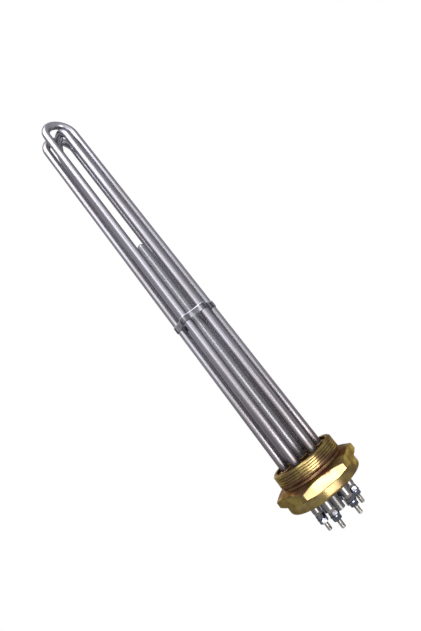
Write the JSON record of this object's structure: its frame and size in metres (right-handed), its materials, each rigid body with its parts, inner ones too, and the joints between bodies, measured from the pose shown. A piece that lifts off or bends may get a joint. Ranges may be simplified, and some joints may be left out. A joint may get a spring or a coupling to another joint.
{
  "type": "water heater element",
  "caption": "Screw-plug immersion heater: bent metal-sheathed heating tubes and a sensor pocket brazed into a threaded hexagonal brass plug with stud terminals.",
  "frame": {"origin": "centre of the plug's sealing face, on the axis of the thread and of the sensor pocket", "axes": "+Z along the heating tubes, from the plug towards the bends; a flat of the hexagon faces -Y"},
  "size_m": [0.0802, 0.0706, 0.4744],
  "materials": {
    "plug_brass": "machined, unpolished",
    "tube_steel": "drawn stainless tube, polished",
    "clip_steel": "thin stainless strip",
    "braze": "heat-stained braze and flux",
    "magnesia": "compacted magnesium oxide powder",
    "resistance_wire": "nickel-chromium wire coil",
    "terminal_steel": "rolled steel stud",
    "bush_ceramic": "dull insulating ceramic",
    "nut_steel": "zinc-plated steel",
    "washer_steel": "zinc-plated steel"
  },
  "bodies": {
    "root": {"screw_plug": "plug_brass", "sensor_pocket": "tube_steel", "braze_fillets": "braze", "tube_clip": "clip_steel", "heating_tube_a": "tube_steel", "mineral_fill_a": "magnesia", "heating_coil_a": "resistance_wire", "heating_tube_b": "tube_steel", "mineral_fill_b": "magnesia", "heating_coil_b": "resistance_wire", "heating_tube_c": "tube_steel", "mineral_fill_c": "magnesia", "heating_coil_c": "resistance_wire", "terminal_pin_1": "terminal_steel", "end_bush_1": "bush_ceramic", "lower_nut_1": "nut_steel", "washer_1": "washer_steel", "upper_nut_1": "nut_steel", "terminal_pin_2": "terminal_steel", "end_bush_2": "bush_ceramic", "lower_nut_2": "nut_steel", "washer_2": "washer_steel", "upper_nut_2": "nut_steel", "terminal_pin_3": "terminal_steel", "end_bush_3": "bush_ceramic", "lower_nut_3": "nut_steel", "washer_3": "washer_steel", "upper_nut_3": "nut_steel", "terminal_pin_4": "terminal_steel", "end_bush_4": "bush_ceramic", "lower_nut_4": "nut_steel", "washer_4": "washer_steel", "upper_nut_4": "nut_steel", "terminal_pin_5": "terminal_steel", "end_bush_5": "bush_ceramic", "lower_nut_5": "nut_steel", "washer_5": "washer_steel", "upper_nut_5": "nut_steel", "terminal_pin_6": "terminal_steel", "end_bush_6": "bush_ceramic", "lower_nut_6": "nut_steel", "washer_6": "washer_steel", "upper_nut_6": "nut_steel"}
  },
  "joints": []
}
